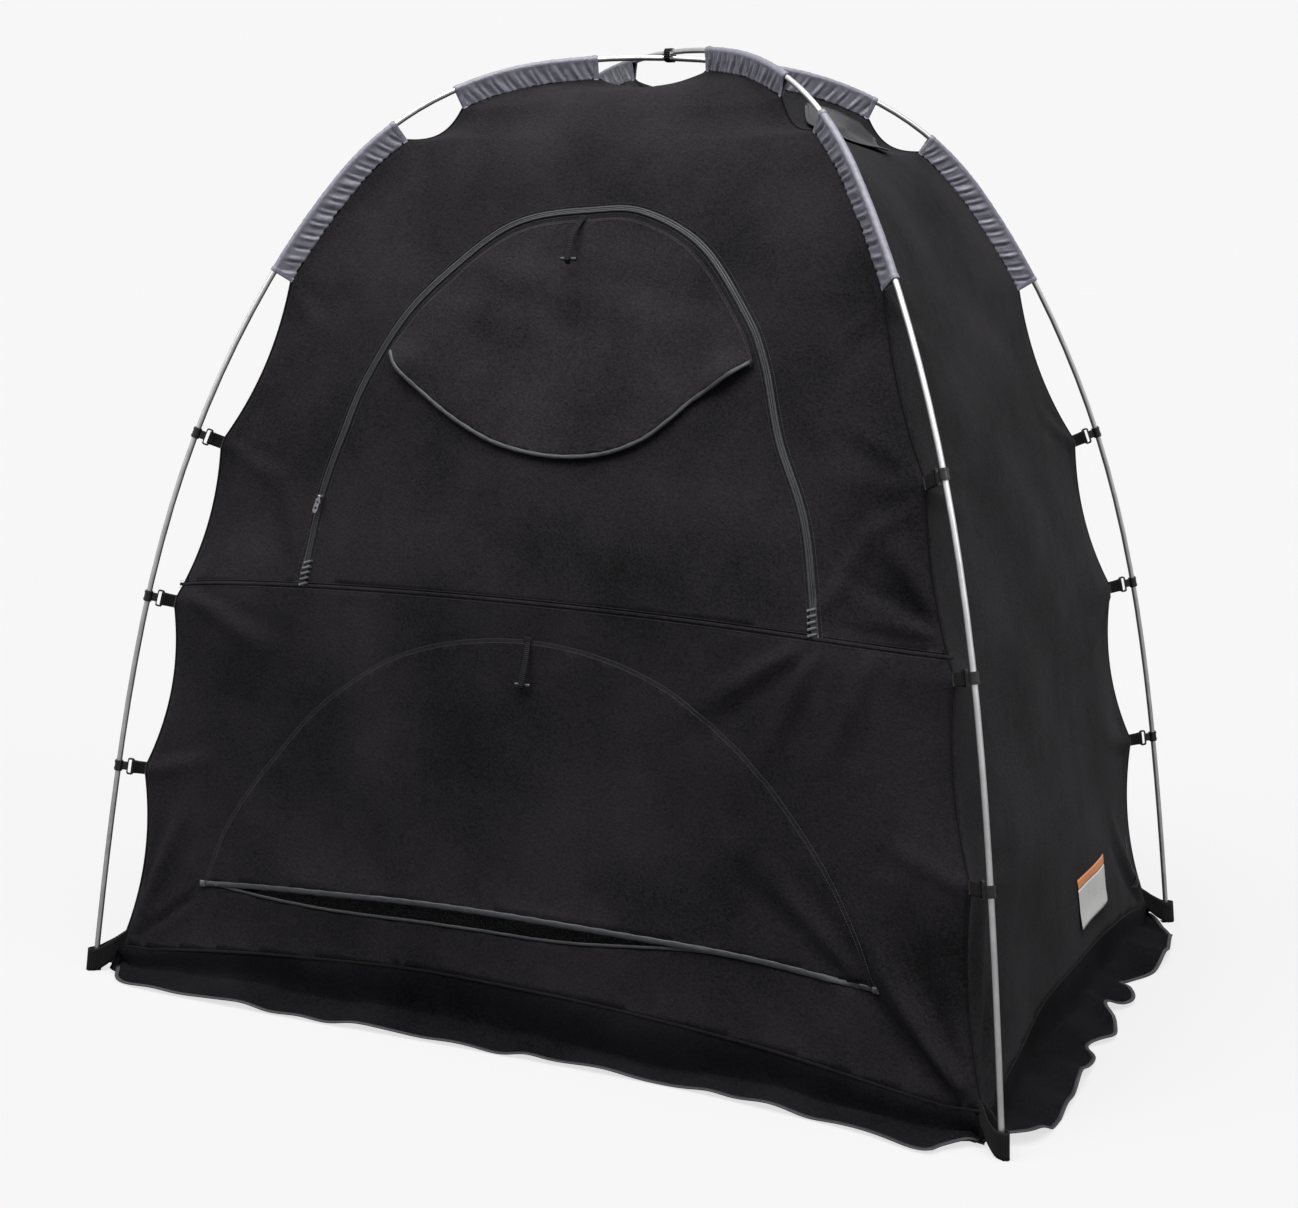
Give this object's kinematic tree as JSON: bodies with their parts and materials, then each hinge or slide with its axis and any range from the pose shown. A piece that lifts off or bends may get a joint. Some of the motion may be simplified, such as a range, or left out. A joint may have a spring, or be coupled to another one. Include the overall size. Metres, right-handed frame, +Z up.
{
  "type": "pole frame sleep tent",
  "caption": "Freestanding blackout sleep tent: knitted canopy hung inside crossed shock-corded poles, with a zipped arched door, vent flaps, pole clips and ground skirts.",
  "frame": {"origin": "on the ground, at the middle of the footprint", "axes": "+X along the long side, -Y out of the door wall, +Z up"},
  "size_m": [1.594, 1.124, 1.4835],
  "materials": {
    "black_knit": "matte knit",
    "sleeve_satin": "satin weave",
    "clip_plastic": "gloss",
    "webbing": "ribbed webbing",
    "toggle_plastic": "satin",
    "pole_aluminium": "satin anodised",
    "elastic_cord": "braided",
    "tip_plastic": "satin",
    "zip_tape": "woven tape",
    "zip_metal": "semi gloss",
    "vent_mesh": "open mesh",
    "label_cloth": "printed satin, blank"
  },
  "bodies": {
    "canopy": {"back_left_sleeve_1": "sleeve_satin", "back_left_sleeve_2": "sleeve_satin", "back_panel": "black_knit", "back_right_sleeve_1": "sleeve_satin", "back_right_sleeve_2": "sleeve_satin", "clip_tabs": "webbing", "cord_port_zip": "zip_tape", "corner_straps": "webbing", "crossing_tie": "webbing", "door_zip_fixed_tape": "zip_tape", "front_left_sleeve_1": "sleeve_satin", "front_left_sleeve_2": "sleeve_satin", "front_lower_panel": "black_knit", "front_right_sleeve_1": "sleeve_satin", "front_right_sleeve_2": "sleeve_satin", "front_upper_panel": "black_knit", "left_panel": "black_knit", "lower_vent_mesh": "vent_mesh", "pole_1_end_tips": "tip_plastic", "pole_1_ferrules": "pole_aluminium", "pole_1_shock_cord": "elastic_cord", "pole_1_tubes": "pole_aluminium", "pole_2_end_tips": "tip_plastic", "pole_2_ferrules": "pole_aluminium", "pole_2_shock_cord": "elastic_cord", "pole_2_tubes": "pole_aluminium", "right_panel": "black_knit", "sewn_label": "label_cloth"},
    "door": {"door_panel": "black_knit", "door_zip_moving_tape": "zip_tape", "upper_vent_mesh": "vent_mesh", "upper_vent_hood": "black_knit"},
    "upper_flap": {"upper_vent_flap": "black_knit"},
    "lower_flap": {"lower_vent_flap": "black_knit"},
    "upper_toggle": {"upper_toggle_strap": "webbing", "upper_toggle_bar": "toggle_plastic"},
    "lower_toggle": {"lower_toggle_strap": "webbing", "lower_toggle_bar": "toggle_plastic"},
    "door_slider": {"door_zip_slider": "zip_metal"},
    "door_pull": {"door_zip_pull": "zip_metal"},
    "port_slider": {"cord_port_slider": "zip_metal"},
    "front_skirt": {"front_skirt": "black_knit"},
    "back_skirt": {"back_skirt": "black_knit"},
    "right_skirt": {"right_skirt": "black_knit"},
    "left_skirt": {"left_skirt": "black_knit"},
    "front_right_clip_1": {"front_right_clip_1": "clip_plastic"},
    "front_right_clip_2": {"front_right_clip_2": "clip_plastic"},
    "front_right_clip_3": {"front_right_clip_3": "clip_plastic"},
    "back_right_clip_1": {"back_right_clip_1": "clip_plastic"},
    "back_right_clip_2": {"back_right_clip_2": "clip_plastic"},
    "back_right_clip_3": {"back_right_clip_3": "clip_plastic"},
    "back_left_clip_1": {"back_left_clip_1": "clip_plastic"},
    "back_left_clip_2": {"back_left_clip_2": "clip_plastic"},
    "back_left_clip_3": {"back_left_clip_3": "clip_plastic"},
    "front_left_clip_1": {"front_left_clip_1": "clip_plastic"},
    "front_left_clip_2": {"front_left_clip_2": "clip_plastic"},
    "front_left_clip_3": {"front_left_clip_3": "clip_plastic"},
    "roof_flap": {"roof_vent_flap": "sleeve_satin"}
  },
  "joints": [
    {"name": "door_fold", "type": "hinge", "parent": "canopy", "child": "door", "pos_m": [0, -0.45127, 0.6502], "axis": [1, 0, 0], "range_deg": [0, 165]},
    {"name": "upper_flap_lift", "type": "hinge", "parent": "door", "child": "upper_flap", "pos_m": [0, -0.37811, 1.0177], "axis": [1, 0, 0], "range_deg": [-150, 0]},
    {"name": "lower_flap_lift", "type": "hinge", "parent": "canopy", "child": "lower_flap", "pos_m": [0, -0.45931, 0.61], "axis": [1, 0, 0], "range_deg": [-100, 0]},
    {"name": "upper_toggle_swing", "type": "hinge", "parent": "door", "child": "upper_toggle", "pos_m": [0, -0.31526, 1.214], "axis": [1, 0, 0], "range_deg": [-150, 0]},
    {"name": "lower_toggle_swing", "type": "hinge", "parent": "lower_flap", "child": "lower_toggle", "pos_m": [0, -0.46388, 0.603], "axis": [1, 0, 0], "range_deg": [-70, 0]},
    {"name": "door_zip_run", "type": "slide", "parent": "canopy", "child": "door_slider", "axis": [0.2706, 0.1814, 0.9454], "range_m": [-0.12, 0.13]},
    {"name": "door_pull_flip", "type": "hinge", "parent": "door_slider", "child": "door_pull", "pos_m": [-0.37924, -0.43012, 0.7905], "axis": [-0.9627, 0.051, 0.2657], "range_deg": [0, 150]},
    {"name": "cord_port_run", "type": "slide", "parent": "canopy", "child": "port_slider", "axis": [-0.0951, 0, 0.9955], "range_m": [0, 0.066]},
    {"name": "front_skirt_lift", "type": "hinge", "parent": "canopy", "child": "front_skirt", "pos_m": [0, -0.51098, 0.06], "axis": [-1, 0, 0], "range_deg": [0, 80]},
    {"name": "back_skirt_lift", "type": "hinge", "parent": "canopy", "child": "back_skirt", "pos_m": [0, 0.51098, 0.06], "axis": [1, 0, 0], "range_deg": [0, 80]},
    {"name": "right_skirt_lift", "type": "hinge", "parent": "canopy", "child": "right_skirt", "pos_m": [0.72045, 0, 0.055], "axis": [0, -1, 0], "range_deg": [0, 80]},
    {"name": "left_skirt_lift", "type": "hinge", "parent": "canopy", "child": "left_skirt", "pos_m": [-0.72045, 0, 0.055], "axis": [0, 1, 0], "range_deg": [0, 80]},
    {"name": "front_right_clip_1_swing", "type": "hinge", "parent": "canopy", "child": "front_right_clip_1", "pos_m": [0.59126, -0.41887, 0.87651], "axis": [0.3002, -0.2127, -0.9299], "range_deg": [0, 100]},
    {"name": "front_right_clip_2_swing", "type": "hinge", "parent": "canopy", "child": "front_right_clip_2", "pos_m": [0.6563, -0.46495, 0.62106], "axis": [0.1919, -0.136, -0.9719], "range_deg": [0, 100]},
    {"name": "front_right_clip_3_swing", "type": "hinge", "parent": "canopy", "child": "front_right_clip_3", "pos_m": [0.69976, -0.49574, 0.34806], "axis": [0.1297, -0.0919, -0.9873], "range_deg": [0, 100]},
    {"name": "back_right_clip_1_swing", "type": "hinge", "parent": "canopy", "child": "back_right_clip_1", "pos_m": [0.59126, 0.41887, 0.86751], "axis": [0.3002, 0.2127, -0.9299], "range_deg": [0, 100]},
    {"name": "back_right_clip_2_swing", "type": "hinge", "parent": "canopy", "child": "back_right_clip_2", "pos_m": [0.6563, 0.46495, 0.61206], "axis": [0.1919, 0.136, -0.9719], "range_deg": [0, 100]},
    {"name": "back_right_clip_3_swing", "type": "hinge", "parent": "canopy", "child": "back_right_clip_3", "pos_m": [0.69976, 0.49574, 0.33906], "axis": [0.1297, 0.0919, -0.9873], "range_deg": [0, 100]},
    {"name": "back_left_clip_1_swing", "type": "hinge", "parent": "canopy", "child": "back_left_clip_1", "pos_m": [-0.59126, 0.41887, 0.87651], "axis": [0.3002, -0.2127, 0.9299], "range_deg": [0, 100]},
    {"name": "back_left_clip_2_swing", "type": "hinge", "parent": "canopy", "child": "back_left_clip_2", "pos_m": [-0.6563, 0.46495, 0.62106], "axis": [0.1919, -0.136, 0.9719], "range_deg": [0, 100]},
    {"name": "back_left_clip_3_swing", "type": "hinge", "parent": "canopy", "child": "back_left_clip_3", "pos_m": [-0.69976, 0.49574, 0.34806], "axis": [0.1297, -0.0919, 0.9873], "range_deg": [0, 100]},
    {"name": "front_left_clip_1_swing", "type": "hinge", "parent": "canopy", "child": "front_left_clip_1", "pos_m": [-0.59126, -0.41887, 0.86751], "axis": [0.3002, 0.2127, 0.9299], "range_deg": [0, 100]},
    {"name": "front_left_clip_2_swing", "type": "hinge", "parent": "canopy", "child": "front_left_clip_2", "pos_m": [-0.6563, -0.46495, 0.61206], "axis": [0.1919, 0.136, 0.9719], "range_deg": [0, 100]},
    {"name": "front_left_clip_3_swing", "type": "hinge", "parent": "canopy", "child": "front_left_clip_3", "pos_m": [-0.69976, -0.49574, 0.33906], "axis": [0.1297, 0.0919, 0.9873], "range_deg": [0, 100]},
    {"name": "roof_flap_lift", "type": "hinge", "parent": "canopy", "child": "roof_flap", "pos_m": [0.21379, 0.12205, 1.41902], "axis": [0.7843, 0.5557, -0.2758], "range_deg": [-80, 0]}
  ]
}
